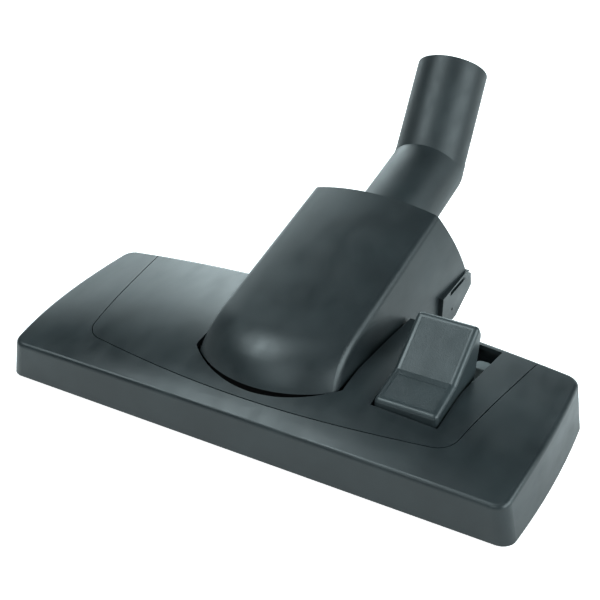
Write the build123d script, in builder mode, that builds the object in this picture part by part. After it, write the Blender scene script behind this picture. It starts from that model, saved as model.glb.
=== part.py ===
"""Floor brush head of a vacuum cleaner: a wide head with retractable brushes, a tilting neck and a swivel elbow.

Millimetres. The floor is z = 0, the head's middle is x = y = 0, its front edge faces -Y and the tube leaves to +Y.
"""
from build123d import *
from math import asin, cos, radians, sin, sqrt, tan
import os

os.makedirs("parts", exist_ok=True)

# Head: outer form
HEAD_WIDTH = 270.0
HEAD_DEPTH = 101.0
SHELL_LIFT = 1.5
SIDE_HEIGHT = 26.2
SIDE_FRONT_HEIGHT = 21.4
SIDE_DRAFT = 4.0
SIDE_BOW = 2.5
FRONT_HEIGHT = 21.9
REAR_CROWN = 35.0
CROWN_RISE_POWER = 4
CORNER_R = 7.0
EDGE_R = 2.5
SHELL_WALL = 2.5
FORM_STATIONS = (0.0, 0.08, 0.18, 0.32, 0.6, 1.0)

# Head: top cover and its seam
COVER_WALL = 2.1
SEAM_GAP = 0.5
SEAM_FRONT = 9.8
SEAM_CORNER_BACK = 19.5
SEAM_CORNER_INSET = 37.2
SEAM_REAR_INSET = 23.7
SEAM_CORNER_R = 11.0
REAR_SEAM_Z = 14.0
SEAT_GAP = 0.1
LEDGE_WIDTH = 3.0
LEDGE_WALL = 1.5
FUSE = 0.6

# Neck: pivot, axis and hood
PIVOT_Y = -3.0
PIVOT_Z = 23.5
NECK_SLOPE = 13.8
NECK_AXIS_DROP = 4.8
HOOD_WALL = 2.2
HOOD_CREASE_X = 35.8
HOOD_CREASE_HEIGHT = 25.4
HOOD_CROWN = 6.5
HOOD_FRONT_FLARE = 1.6
HOOD_REAR_FLARE = 5.6
HOOD_SIDE_DEPTH = 14.0
HOOD_FRONT_SPREAD = 2.8
HOOD_REAR_SPREAD = 10.5
HOOD_SKIRT_DEPTH = 60.0
HOOD_TAIL = 25.0
HOOD_FRONT_REACH = 45.0
HOOD_REAR_REACH = 135.0
HOOD_BASE_Z = 30.0
HOOD_RIM_Y = 94.6
HOOD_RIM_Z = 69.7
HOOD_RIM_LEAN = 27.6
HOOD_BROW_R = 36.0
HOOD_CREASE_R = 5.0
NOSE_R = 53.0
NOSE_CENTRE_Y = 18.5
NOSE_LEVEL_Z = 33.3
NOSE_TAPER = 22.0
NOSE_GAP = 2.25
HOOD_SIDE_GAP = 1.5

# Neck: knuckle drum, duct and trunnions
DRUM_R = 18.0
DRUM_HALF = 31.5
DUCT_R = 17.2
DUCT_WALL = 2.0
DRUM_GAP = 0.4
TRUNNION_R = 4.5
TRUNNION_END_X = 46.0
RUNNING_GAP = 0.05
FIXED_GAP = 0.02

# Neck: swivel and elbow
SWIVEL_SEAT = 88.0
DUCT_FLANGE = 2.5
SPIGOT_R = 17.6
SPIGOT_LENGTH = 12.0
RING_R = 25.8
RING_END = 110.5
RING_GAP = 0.3
BEAD_START = 98.0
BEAD_WIDTH = 3.0
BEAD_HEIGHT = 2.0
ELBOW_R = 20.86
ELBOW_BORE_R = 18.7
ELBOW_END_GAP = 1.0
BEND_REACH = 173.3
ELBOW_BEND = 34.7
ELBOW_TURN = -7.4
COLLAR_STEP = 0.1
COLLAR_LENGTH = 6.6
TUBE_R = 20.56
TUBE_BORE_R = 17.6
TUBE_LENGTH = 61.7
SOCKET_DEPTH = 46.0
TUBE_LIP_R = 0.8
SEAL_WIDTH = 4.0

# Neck: lower shell, wheels and parking plate
TUB_WALL = 2.2
TUB_FRONT_Y = 55.0
TUB_CHIN = 10.0
TUB_CHIN_Z = 12.2
TUB_BOTTOM_Z = 5.0
TUB_BOSS_R = 5.0
CHEEK_X = 47.0
CHEEK_WALL = 4.0
CHEEK_FRONT_Y = 83.0
CHEEK_TIP_Y = 124.0
CHEEK_TIP_Z = 16.4
CHEEK_HEEL_Y = 103.0
CHEEK_HEEL_Z = 7.2
CHEEK_TOP_Y = 117.4
CHEEK_TOP_Z = 28.9
CHEEK_HOLE_Y = 96.7
CHEEK_HOLE_Z = 14.8
CHEEK_HOLE_R = 0.9
PARK_SLOT_Z = 26.0
PARK_SLOT_WIDTH = 2.6
PARK_SLOT_DEPTH = 2.4
PARK_SLOT_END_Y = 93.0
WHEEL_R = 10.0
WHEEL_WIDTH = 12.0
WHEEL_EDGE_R = 1.2
WHEEL_DISH = 1.0
WHEEL_X = 32.0
WHEEL_Y = 97.0
WHEEL_GAP = 1.2
AXLE_R = 2.5

# Sole, throat and lint strips
SOLE_TOP = 4.0
SOLE_GAP = 0.15
LAND_HALF_X = 120.0
LAND_HALF_Y = 26.0
CHANNEL_HALF_X = 116.0
CHANNEL_HALF_Y = 9.0
CHANNEL_ROOF_Z = 9.0
CHANNEL_WALL = 2.0
MOUTH_HALF_X = 30.0
MOUTH_HALF_Y = 16.0
THROAT_WALL = 3.0
THROAT_REAR_Z = 6.5
LINT_LENGTH = 42.0
LINT_WIDTH = 8.0
LINT_X = 72.5
LINT_Y = 16.5
LINT_DEPTH = 1.2
LINT_PROUD = 0.2

# Pivot posts and caps
POST_X = 43.5
POST_WIDTH = 6.0
POST_HALF_Y = 11.5
CAP_WALL = 2.0
CAP_FOOT = 2.4
CAP_SCREW_Y = 9.0
CAP_SCREW_R = 1.2
CAP_SCREW_HEAD_R = 2.3
CAP_SCREW_HEAD = 1.5
CAP_SCREW_LENGTH = 8.0

# Screws and bosses
BOSS_R = 3.6
SCREW_R = 1.5
SCREW_HEAD_R = 3.1
SCREW_HEAD = 1.6
SCREW_LENGTH = 11.0
SHELL_BOSS_INSET = 13.0
SHELL_BOSS_Y = 25.0
COVER_BOSS_X = 48.0
COVER_BOSS_Y = -22.0
WING_BOSS_INSET = 37.2
WING_BOSS_Y = 22.0
NECK_BOSS_X = 30.0
NECK_BOSS_Y = 68.0
NECK_SCREW_SEAT_Z = 20.0
NECK_SCREW_BITE = 12.0

# Brush carrier, bristles and lift springs
BRUSH_INSET = 23.0
BRUSH_Y = 34.0
STRIP_WIDTH = 7.2
STRIP_LOW_Z = 7.6
STRIP_HEIGHT = 3.6
SLOT_GAP = 1.0
BRIDGE_WIDTH = 10.0
BRIDGE_LOW_Z = 17.5
BRIDGE_HEIGHT = 3.0
BRUSH_DROP = 6.0
TUFT_COUNT = 26
TUFT_LENGTH = 6.0
TUFT_R = 2.1
TUFT_ROOT = 2.0
SPRING_Y = 22.0
SPRING_R = 3.4
SPRING_WIRE_R = 0.45
SPRING_TURNS = 5
SPRING_POST_R = 2.2
SPRING_POST = 5.0

# Pedal
PEDAL_HOOD_WEB = 20.5
PEDAL_CORNER_WEB = 10.3
PEDAL_FRONT_Y = -21.2
PEDAL_FRONT_Z = 33.6
PEDAL_FOLD_Y = 0.4
PEDAL_FOLD_Z = 37.7
PEDAL_REAR_Y = 26.2
PEDAL_REAR_Z = 55.5
PEDAL_PLATE = 4.4
PEDAL_EDGE_R = 2.4
PEDAL_WALL = 2.4
PEDAL_SKIRT_Z = 27.0
PEDAL_SKIRT_REAR_Y = 24.0
PEDAL_RIM = 3.2
PEDAL_INLAY = 0.2
PEDAL_AXLE_Y = 1.0
PEDAL_AXLE_Z = 25.2
PEDAL_AXLE_R = 2.0
PEDAL_HUB_R = 4.0
PEDAL_SIDE_GAP = 0.9
PEDAL_WELL_FLARE = 4.5
PEDAL_WELL_REAR = 4.0
PEDAL_WELL_Z = 22.0
EAR_WALL = 2.5
EAR_HALF = 5.0
PUSH_ARM = 17.0
PUSH_HALF = 3.0
PUSH_NOSE_R = 2.0
PUSH_GAP = 0.4
PUSH_TOP_Z = 27.0
LUG_INSET = 2.0
LUG_Y = 45.0
LUG_WIDTH = 8.0
LUG_DEPTH = 7.0
LUG_TOP_Z = 24.0
LUG_CORNER_R = 2.5
LUG_EDGE_R = 0.8

# Derived places
FRONT_Y = -HEAD_DEPTH / 2
REAR_Y = HEAD_DEPTH / 2
HALF_WIDTH = HEAD_WIDTH / 2
WING_BOSS_X = HALF_WIDTH - WING_BOSS_INSET
PEDAL_LEFT_X = HOOD_CREASE_X + PEDAL_HOOD_WEB
PEDAL_RIGHT_X = HALF_WIDTH - SEAM_CORNER_INSET - PEDAL_CORNER_WEB
LUG_X = PEDAL_RIGHT_X - LUG_INSET
PEDAL_MIDDLE_X = (PEDAL_LEFT_X + PEDAL_RIGHT_X) / 2
BRIDGE_X = PEDAL_MIDDLE_X
FOOT_CUT_Z = SHELL_LIFT - 1.0
BRUSH_HALF = HALF_WIDTH - BRUSH_INSET
BRIDGE_TOP_Z = BRIDGE_LOW_Z + BRIDGE_HEIGHT
STRIP_TOP_Z = STRIP_LOW_Z + STRIP_HEIGHT
NECK_BASE_Z = PIVOT_Z - NECK_AXIS_DROP
SLOPE = radians(NECK_SLOPE)
NECK = Plane(origin=(0, PIVOT_Y, NECK_BASE_Z), x_dir=(1, 0, 0), z_dir=(0, -cos(SLOPE), -sin(SLOPE)))
SWIVEL_Y = PIVOT_Y + SWIVEL_SEAT * cos(SLOPE)
SWIVEL_Z = NECK_BASE_Z + SWIVEL_SEAT * sin(SLOPE)
DUCT_LENGTH = sqrt((SWIVEL_Y - PIVOT_Y) ** 2 + (SWIVEL_Z - PIVOT_Z) ** 2)
DUCT_SLOPE = asin((SWIVEL_Z - PIVOT_Z) / DUCT_LENGTH)
DUCT = Plane(origin=(0, PIVOT_Y, PIVOT_Z), x_dir=(1, 0, 0), z_dir=(0, -cos(DUCT_SLOPE), -sin(DUCT_SLOPE)))
BEND_Y = PIVOT_Y + BEND_REACH * cos(SLOPE)
BEND_Z = NECK_BASE_Z + BEND_REACH * sin(SLOPE)
BEND = radians(ELBOW_BEND)
TURN = radians(ELBOW_TURN)
TUBE_COURSE = (
    sin(BEND) * sin(TURN),
    cos(BEND) * cos(SLOPE) - sin(BEND) * cos(TURN) * sin(SLOPE),
    cos(BEND) * sin(SLOPE) + sin(BEND) * cos(TURN) * cos(SLOPE),
)
TUBE = Plane(origin=(0, BEND_Y, BEND_Z), z_dir=TUBE_COURSE)
RIM_TAN = tan(radians(HOOD_RIM_LEAN))
HOOD_REAR_BASE_Y = HOOD_RIM_Y + (HOOD_RIM_Z - HOOD_BASE_Z) * RIM_TAN
CHEEK_OUTLINE = (
    (CHEEK_FRONT_Y, HOOD_BASE_Z - TUB_WALL),
    (CHEEK_FRONT_Y, CHEEK_HOLE_Z),
    (CHEEK_HEEL_Y - 2 * TUB_WALL, CHEEK_HEEL_Z),
    (CHEEK_HEEL_Y, CHEEK_HEEL_Z),
    (CHEEK_TIP_Y, CHEEK_TIP_Z),
    (CHEEK_TIP_Y - TUB_WALL, PARK_SLOT_Z),
    (CHEEK_TOP_Y, CHEEK_TOP_Z),
)
AXLE_HALF = WHEEL_X + WHEEL_WIDTH / 2 + WHEEL_GAP + 0.75 * TUB_WALL
SHELL_BOSSES = [
    (side * (HALF_WIDTH - SHELL_BOSS_INSET), end * SHELL_BOSS_Y) for side in (-1, 1) for end in (-1, 1)
]
COVER_BOSSES = [(side * COVER_BOSS_X, COVER_BOSS_Y) for side in (-1, 1)]
COVER_BOSSES += [(side * WING_BOSS_X, WING_BOSS_Y) for side in (-1, 1)]


def rise_share(share):
    """How far the head's top has risen, from 0 to 1, at a share of the depth counted from the front."""
    return 1 - (1 - share) ** CROWN_RISE_POWER


def crown_height(share):
    """Height of the head's top on the centre line, at a share of the depth."""
    return FRONT_HEIGHT + (REAR_CROWN - FRONT_HEIGHT) * rise_share(share)


def shoulder_height(share):
    """Height of the head's top at its sides, at a share of the depth."""
    return SIDE_FRONT_HEIGHT + (SIDE_HEIGHT - SIDE_FRONT_HEIGHT) * rise_share(share)


def side_reach(share):
    """Half of the head's width at its foot, bowed out between the front and the rear."""
    return HALF_WIDTH + 4 * SIDE_BOW * share * (1 - share)


def head_form(inset, foot_z, edge_r=0.0):
    """Closed form of the head, drawn in by inset at the walls and the top, lofted through arched sections."""
    with BuildPart() as form:
        for share in FORM_STATIONS:
            low = side_reach(share) - inset
            high = low - SIDE_DRAFT
            shoulder = shoulder_height(share) - inset
            station = (FRONT_Y + inset) + share * (HEAD_DEPTH - 2 * inset)
            with BuildSketch(Plane.XZ.offset(-station)):
                with BuildLine():
                    Polyline((-high, shoulder), (-low, foot_z), (low, foot_z), (high, shoulder))
                    ThreePointArc((high, shoulder), (0, crown_height(share) - inset), (-high, shoulder))
                make_face()
        loft()
        end_x = HALF_WIDTH - inset - SIDE_DRAFT
        end_y = HEAD_DEPTH / 2 - inset
        uprights = form.edges().filter_by(
            lambda edge: abs(edge.center().X) > end_x - 1 and abs(abs(edge.center().Y) - end_y) < 0.1
        )
        fillet(uprights, CORNER_R - inset)
        if edge_r:
            rim_z = SIDE_FRONT_HEIGHT - inset - EDGE_R
            rim = form.edges().filter_by(lambda edge: edge.center().Z > rim_z)
            fillet(rim, edge_r)
    return form.part


def cover_outline(grow):
    """Plan outline of the top cover, open past the rear edge, grown or shrunk by an amount."""
    corner_x = HALF_WIDTH - SEAM_CORNER_INSET
    corner_y = FRONT_Y + SEAM_CORNER_BACK
    rear_x = HALF_WIDTH - SEAM_REAR_INSET
    beyond_y = REAR_Y + CORNER_R
    with BuildSketch() as outline:
        with BuildLine():
            ThreePointArc((-corner_x, corner_y), (0, FRONT_Y + SEAM_FRONT), (corner_x, corner_y))
            Polyline((corner_x, corner_y), (rear_x, beyond_y), (-rear_x, beyond_y), (-corner_x, corner_y))
        make_face()
        fillet(outline.vertices().group_by(Axis.Y)[0], SEAM_CORNER_R)
        if grow:
            offset(amount=grow, kind=Kind.INTERSECTION)
    return outline.sketch


def half_width_at(form, y, level):
    """Half width of a closed form at one place along the head and one height."""
    with BuildPart() as slice_of_form:
        add(form)
        with Locations((0, y, level)):
            Box(HEAD_WIDTH, FIXED_GAP, FIXED_GAP, mode=Mode.INTERSECT)
    return slice_of_form.part.bounding_box().max.X


def hood_opening(hood):
    """Plan outline of the opening in the cover that the hood's nose tilts through, open to the rear."""
    reach = NOSE_R + NOSE_GAP
    beyond_y = REAR_Y + CORNER_R
    side_x = half_width_at(hood, PIVOT_Y, HOOD_BASE_Z) + HOOD_SIDE_GAP
    rear_x = half_width_at(hood, beyond_y, HOOD_BASE_Z) + HOOD_SIDE_GAP
    side_y = NOSE_CENTRE_Y - sqrt(reach**2 - side_x**2)
    with BuildSketch() as opening:
        with BuildLine():
            ThreePointArc((-side_x, side_y), (0, NOSE_CENTRE_Y - reach), (side_x, side_y))
            Polyline(
                (side_x, side_y),
                (side_x, PIVOT_Y),
                (rear_x, beyond_y),
                (-rear_x, beyond_y),
                (-side_x, PIVOT_Y),
                (-side_x, side_y),
            )
        make_face()
    return opening.sketch


def nose_limit(inset):
    """Cone that rounds the hood's nose in plan, with a block that leaves the rest of the hood as it is."""
    low = 0.0
    high = HOOD_RIM_Z + HOOD_SKIRT_DEPTH / 2
    lean = tan(radians(NOSE_TAPER))
    with BuildPart() as limit:
        with Locations((0, NOSE_CENTRE_Y, (low + high) / 2)):
            Cone(
                NOSE_R - inset - (low - NOSE_LEVEL_Z) * lean,
                NOSE_R - inset - (high - NOSE_LEVEL_Z) * lean,
                high - low,
            )
        with Locations((0, NOSE_CENTRE_Y, (low + high) / 2)):
            Box(
                4 * HOOD_CREASE_X,
                2 * HOOD_REAR_REACH,
                high - low,
                align=(Align.CENTER, Align.MIN, Align.CENTER),
            )
    return limit.part


def hood_form(inset, brow_r, crease_r):
    """Closed form of the hood: arched sections along the neck, a rounded nose and a brow between them."""
    limit = nose_limit(inset)
    crease = HOOD_CREASE_X - inset
    height = HOOD_CREASE_HEIGHT - inset
    ends = (
        (-HOOD_FRONT_REACH, HOOD_FRONT_FLARE, HOOD_FRONT_SPREAD),
        (HOOD_REAR_REACH, HOOD_REAR_FLARE, HOOD_REAR_SPREAD),
    )
    with BuildPart() as form:
        for along, flare, spread in ends:
            middle = (crease + flare, height - HOOD_SIDE_DEPTH)
            hem = (crease + spread, height - HOOD_SKIRT_DEPTH)
            with BuildSketch(NECK.offset(-along)):
                with BuildLine():
                    ThreePointArc((-crease, height), (0, height + HOOD_CROWN), (crease, height))
                    ThreePointArc((crease, height), middle, hem)
                    Polyline(
                        hem,
                        (hem[0], hem[1] - HOOD_TAIL),
                        (-hem[0], hem[1] - HOOD_TAIL),
                        (-hem[0], hem[1]),
                    )
                    ThreePointArc((-hem[0], hem[1]), (-middle[0], middle[1]), (-crease, height))
                make_face()
        loft(ruled=True)
        add(limit, mode=Mode.INTERSECT)
        brow = form.edges().filter_by(lambda edge: abs(edge.center().X) < 0.5 and edge.center().Y < NOSE_CENTRE_Y)
        fillet(brow.sort_by(Axis.Z)[-1], brow_r)
        creases = form.edges().filter_by(
            lambda edge: abs(abs(edge.center().X) - crease) < 1 and edge.length > HOOD_REAR_REACH / 2
        )
        fillet(creases, crease_r)
    return form.part


def tub_form(form, inset, top_z):
    """The lower part of the neck's form between a keel line and a top level, drawn in by inset."""
    with BuildPart() as tub:
        with BuildSketch(Plane.YZ):
            with BuildLine():
                Polyline(
                    (TUB_FRONT_Y, top_z),
                    (TUB_FRONT_Y, PIVOT_Z),
                    (TUB_FRONT_Y + TUB_CHIN, TUB_CHIN_Z),
                    (WHEEL_Y - WHEEL_R, TUB_BOTTOM_Z),
                    (WHEEL_Y + WHEEL_R / 2, TUB_BOTTOM_Z),
                    (HOOD_REAR_BASE_Y + TUB_WALL, TUB_CHIN_Z),
                    (HOOD_REAR_BASE_Y - TUB_WALL * (top_z - HOOD_BASE_Z) / (HOOD_BASE_Z - TUB_CHIN_Z), top_z),
                    close=True,
                )
            make_face()
            if inset:
                offset(amount=-inset, kind=Kind.INTERSECTION)
        extrude(amount=HEAD_WIDTH, both=True)
        add(form, mode=Mode.INTERSECT)
    return tub.part


def finish(piece, name):
    """Give a finished piece its name and write its file."""
    piece.label = name
    export_step(piece, f"parts/{name}.step")


SHELL_BOSS_TOP_Z = shoulder_height(0.5 - SHELL_BOSS_Y / HEAD_DEPTH) - FUSE

# Forms that several pieces of the head are cut from
head_skin = head_form(0.0, SHELL_LIFT, EDGE_R)
shell_cavity = head_form(SHELL_WALL, FOOT_CUT_Z)
cover_cavity = head_form(COVER_WALL, FOOT_CUT_Z)
seat_form = head_form(COVER_WALL + SEAT_GAP, FOOT_CUT_Z)
ledge_cavity = head_form(SHELL_WALL + LEDGE_WALL, FOOT_CUT_Z)
fitting_limit = head_form(COVER_WALL - FUSE, FOOT_CUT_Z)
sole_limit = head_form(SHELL_WALL + SOLE_GAP, FOOT_CUT_Z)
hood_skin = hood_form(0.0, HOOD_BROW_R, HOOD_CREASE_R)
hood_cavity = hood_form(HOOD_WALL, HOOD_BROW_R - HOOD_WALL, HOOD_CREASE_R - HOOD_WALL)
hood_limit = hood_form(HOOD_WALL - FUSE, HOOD_BROW_R - HOOD_WALL, HOOD_CREASE_R - HOOD_WALL)
neck_room = hood_opening(hood_skin)

# Ledge under the cover's seam
with BuildPart() as cover_ledge:
    add(seat_form)
    add(ledge_cavity, mode=Mode.SUBTRACT)
    with BuildSketch(Plane.XY.offset(REAR_SEAM_Z)):
        add(cover_outline(LEDGE_WIDTH))
        add(cover_outline(-LEDGE_WIDTH), mode=Mode.SUBTRACT)
    extrude(amount=REAR_CROWN, mode=Mode.INTERSECT)

# Outer shell
with BuildPart() as outer_shell:
    add(head_skin)
    add(shell_cavity, mode=Mode.SUBTRACT)
    with BuildSketch(Plane.XY.offset(REAR_SEAM_Z - SEAM_GAP)):
        add(cover_outline(SEAM_GAP))
    extrude(amount=REAR_CROWN, mode=Mode.SUBTRACT)
    add(cover_ledge.part)
    with BuildSketch(Plane.XY.offset(SOLE_TOP + 1)):
        add(neck_room)
    extrude(amount=REAR_CROWN, mode=Mode.SUBTRACT)
    with Locations(*[(x, y, SOLE_TOP) for x, y in SHELL_BOSSES]):
        Cylinder(BOSS_R, SHELL_BOSS_TOP_Z - SOLE_TOP, align=(Align.CENTER, Align.CENTER, Align.MIN))
    with Locations(*[(x, y, SOLE_TOP) for x, y in SHELL_BOSSES]):
        Cylinder(
            SCREW_R + FIXED_GAP,
            SCREW_LENGTH,
            align=(Align.CENTER, Align.CENTER, Align.MIN),
            mode=Mode.SUBTRACT,
        )
finish(outer_shell.part, "outer_shell")

# Screw bosses and pedal ears under the cover
with BuildPart() as cover_fittings:
    with Locations(*[(x, y, SOLE_TOP) for x, y in COVER_BOSSES]):
        Cylinder(BOSS_R, REAR_CROWN, align=(Align.CENTER, Align.CENTER, Align.MIN))
    with Locations(*[(x, y, SOLE_TOP) for x, y in COVER_BOSSES]):
        Cylinder(
            SCREW_R + FIXED_GAP,
            SCREW_LENGTH,
            align=(Align.CENTER, Align.CENTER, Align.MIN),
            mode=Mode.SUBTRACT,
        )
    left_ear_x = PEDAL_LEFT_X - PEDAL_SIDE_GAP - EAR_WALL
    right_ear_x = PEDAL_RIGHT_X + PEDAL_SIDE_GAP + EAR_WALL
    for ear_x in (left_ear_x, right_ear_x - EAR_WALL):
        with BuildSketch(Plane.YZ.offset(ear_x)):
            with Locations((PEDAL_AXLE_Y, PEDAL_AXLE_Z)):
                Circle(EAR_HALF)
                Rectangle(2 * EAR_HALF, REAR_CROWN, align=(Align.CENTER, Align.MIN))
                Circle(PEDAL_AXLE_R + FIXED_GAP, mode=Mode.SUBTRACT)
        extrude(amount=EAR_WALL)
    add(fitting_limit, mode=Mode.INTERSECT)

# Top cover
with BuildPart() as top_cover:
    add(head_skin)
    add(cover_cavity, mode=Mode.SUBTRACT)
    with BuildSketch(Plane.XY.offset(REAR_SEAM_Z)):
        add(cover_outline(0.0))
    extrude(amount=REAR_CROWN, mode=Mode.INTERSECT)
    add(cover_fittings.part)
    with BuildSketch(Plane.XY.offset(REAR_SEAM_Z)):
        add(neck_room)
    extrude(amount=REAR_CROWN, mode=Mode.SUBTRACT)
    with BuildSketch(Plane.XY.offset(PEDAL_WELL_Z)):
        with BuildLine():
            Polyline(
                (PEDAL_LEFT_X - PEDAL_SIDE_GAP, PEDAL_FRONT_Y - PEDAL_SIDE_GAP),
                (PEDAL_RIGHT_X + PEDAL_SIDE_GAP, PEDAL_FRONT_Y - PEDAL_SIDE_GAP),
                (PEDAL_RIGHT_X + PEDAL_SIDE_GAP, PEDAL_AXLE_Y + EAR_HALF),
                (PEDAL_RIGHT_X + PEDAL_SIDE_GAP + PEDAL_WELL_FLARE, REAR_Y - PEDAL_WELL_REAR),
                (PEDAL_LEFT_X - PEDAL_SIDE_GAP, REAR_Y - PEDAL_WELL_REAR),
                close=True,
            )
        make_face()
    extrude(amount=REAR_CROWN, mode=Mode.SUBTRACT)
finish(top_cover.part, "top_cover")

# Sole plate
with BuildPart() as sole_plate:
    with BuildSketch(Plane.XY.offset(SHELL_LIFT)):
        Rectangle(2 * HEAD_WIDTH, 2 * HEAD_DEPTH)
    extrude(amount=SOLE_TOP - SHELL_LIFT)
    add(sole_limit, mode=Mode.INTERSECT)
    with BuildSketch(Plane.XY):
        RectangleRounded(2 * LAND_HALF_X, 2 * LAND_HALF_Y, CORNER_R)
    extrude(amount=SHELL_LIFT)
    chamfer(sole_plate.edges().group_by(Axis.Z)[0], SHELL_LIFT / 2)
    with BuildSketch(Plane.XY.offset(SOLE_TOP)):
        Rectangle(2 * (CHANNEL_HALF_X + CHANNEL_WALL), 2 * (CHANNEL_HALF_Y + CHANNEL_WALL))
        Rectangle(2 * (MOUTH_HALF_X + THROAT_WALL + SOLE_GAP), 2 * HEAD_DEPTH, mode=Mode.SUBTRACT)
    extrude(amount=CHANNEL_ROOF_Z + CHANNEL_WALL - SOLE_TOP)
    for side in (-1, 1):
        with BuildSketch(Plane.YZ.offset(side * POST_X - POST_WIDTH / 2)):
            with Locations((PIVOT_Y, SOLE_TOP)):
                Rectangle(2 * POST_HALF_Y, PIVOT_Z - SOLE_TOP, align=(Align.CENTER, Align.MIN))
            with Locations((PIVOT_Y, PIVOT_Z)):
                Circle(TRUNNION_R + RUNNING_GAP, mode=Mode.SUBTRACT)
        extrude(amount=POST_WIDTH)
    with BuildSketch(Plane.XY):
        Rectangle(2 * CHANNEL_HALF_X, 2 * CHANNEL_HALF_Y)
    extrude(amount=CHANNEL_ROOF_Z, mode=Mode.SUBTRACT)
    with BuildSketch(Plane.XY):
        with Locations((0, PIVOT_Y)):
            RectangleRounded(2 * MOUTH_HALF_X, 2 * MOUTH_HALF_Y, THROAT_WALL)
    extrude(amount=SOLE_TOP, mode=Mode.SUBTRACT)
    with BuildSketch(Plane.XY.offset(SHELL_LIFT)):
        with Locations((0, -BRUSH_Y), (0, BRUSH_Y)):
            Rectangle(2 * (BRUSH_HALF + SLOT_GAP), STRIP_WIDTH + 2 * SLOT_GAP)
    extrude(amount=SOLE_TOP, mode=Mode.SUBTRACT)
    with BuildSketch(Plane.XY):
        with GridLocations(2 * LINT_X, 2 * LINT_Y, 2, 2):
            Rectangle(LINT_LENGTH, LINT_WIDTH)
    extrude(amount=LINT_DEPTH, mode=Mode.SUBTRACT)
    with Locations(
        *[(side * POST_X, PIVOT_Y + end * CAP_SCREW_Y, PIVOT_Z) for side in (-1, 1) for end in (-1, 1)]
    ):
        Cylinder(
            CAP_SCREW_R + FIXED_GAP,
            CAP_SCREW_LENGTH - CAP_FOOT,
            align=(Align.CENTER, Align.CENTER, Align.MAX),
            mode=Mode.SUBTRACT,
        )
    with Locations(*[(side * BRIDGE_X, SPRING_Y, SOLE_TOP) for side in (-1, 1)]):
        Cylinder(SPRING_POST_R, SPRING_POST, align=(Align.CENTER, Align.CENTER, Align.MIN))
    for x, y in SHELL_BOSSES + COVER_BOSSES:
        face_z = 0.0 if abs(x) < LAND_HALF_X and abs(y) < LAND_HALF_Y else SHELL_LIFT
        with Locations((x, y, face_z)):
            Cone(
                SCREW_HEAD_R + FIXED_GAP,
                SCREW_R + FIXED_GAP,
                SCREW_HEAD,
                align=(Align.CENTER, Align.CENTER, Align.MIN),
                mode=Mode.SUBTRACT,
            )
            Cylinder(
                SCREW_R + FIXED_GAP,
                SOLE_TOP,
                align=(Align.CENTER, Align.CENTER, Align.MIN),
                mode=Mode.SUBTRACT,
            )
finish(sole_plate.part, "sole_plate")

# Throat cradle under the knuckle drum
with BuildPart() as throat_cradle:
    with BuildSketch(Plane.XY.offset(SOLE_TOP)):
        with Locations((0, PIVOT_Y)):
            RectangleRounded(
                2 * (MOUTH_HALF_X + THROAT_WALL),
                2 * (MOUTH_HALF_Y + THROAT_WALL),
                THROAT_WALL,
            )
            Rectangle(2 * MOUTH_HALF_X, 2 * MOUTH_HALF_Y, mode=Mode.SUBTRACT)
    extrude(amount=PIVOT_Z - SOLE_TOP)
    with Locations((0, PIVOT_Y, PIVOT_Z)):
        Cylinder(DRUM_R + DRUM_GAP, 3 * MOUTH_HALF_X, rotation=(0, 90, 0), mode=Mode.SUBTRACT)
    with Locations((0, PIVOT_Y + MOUTH_HALF_Y / 2, THROAT_REAR_Z)):
        Box(
            3 * MOUTH_HALF_X,
            HEAD_DEPTH,
            PIVOT_Z,
            align=(Align.CENTER, Align.MIN, Align.MIN),
            mode=Mode.SUBTRACT,
        )
finish(throat_cradle.part, "throat_cradle")

# Pivot caps and their screws
for side, name in ((-1, "left_pivot_cap"), (1, "right_pivot_cap")):
    with BuildPart() as pivot_cap:
        with BuildSketch(Plane.YZ.offset(side * POST_X - POST_WIDTH / 2)):
            with Locations((PIVOT_Y, PIVOT_Z)):
                Circle(TRUNNION_R + CAP_WALL)
                Rectangle(2 * POST_HALF_Y, CAP_FOOT, align=(Align.CENTER, Align.MIN))
                Circle(TRUNNION_R + RUNNING_GAP, mode=Mode.SUBTRACT)
                Rectangle(
                    4 * POST_HALF_Y,
                    4 * TRUNNION_R,
                    align=(Align.CENTER, Align.MAX),
                    mode=Mode.SUBTRACT,
                )
        extrude(amount=POST_WIDTH)
        with Locations(
            *[(side * POST_X, PIVOT_Y + end * CAP_SCREW_Y, PIVOT_Z) for end in (-1, 1)]
        ):
            Cylinder(
                CAP_SCREW_R + FIXED_GAP,
                CAP_FOOT,
                align=(Align.CENTER, Align.CENTER, Align.MIN),
                mode=Mode.SUBTRACT,
            )
    finish(pivot_cap.part, name)

with BuildPart() as cap_screws:
    with Locations(
        *[
            (side * POST_X, PIVOT_Y + end * CAP_SCREW_Y, PIVOT_Z + CAP_FOOT)
            for side in (-1, 1)
            for end in (-1, 1)
        ]
    ):
        Cylinder(CAP_SCREW_HEAD_R, CAP_SCREW_HEAD, align=(Align.CENTER, Align.CENTER, Align.MIN))
        Cylinder(CAP_SCREW_R, CAP_SCREW_LENGTH, align=(Align.CENTER, Align.CENTER, Align.MAX))
finish(cap_screws.part, "cap_screws")

# Lint strips
for side, side_name in ((-1, "left"), (1, "right")):
    for end, end_name in ((-1, "front"), (1, "rear")):
        with BuildPart() as lint_strip:
            with BuildSketch(Plane.XY.offset(LINT_PROUD)):
                with Locations((side * LINT_X, end * LINT_Y)):
                    RectangleRounded(LINT_LENGTH - LINT_PROUD, LINT_WIDTH - LINT_PROUD, LINT_DEPTH / 2)
            extrude(amount=LINT_DEPTH - LINT_PROUD)
        finish(lint_strip.part, f"{end_name}_{side_name}_lint_strip")

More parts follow.
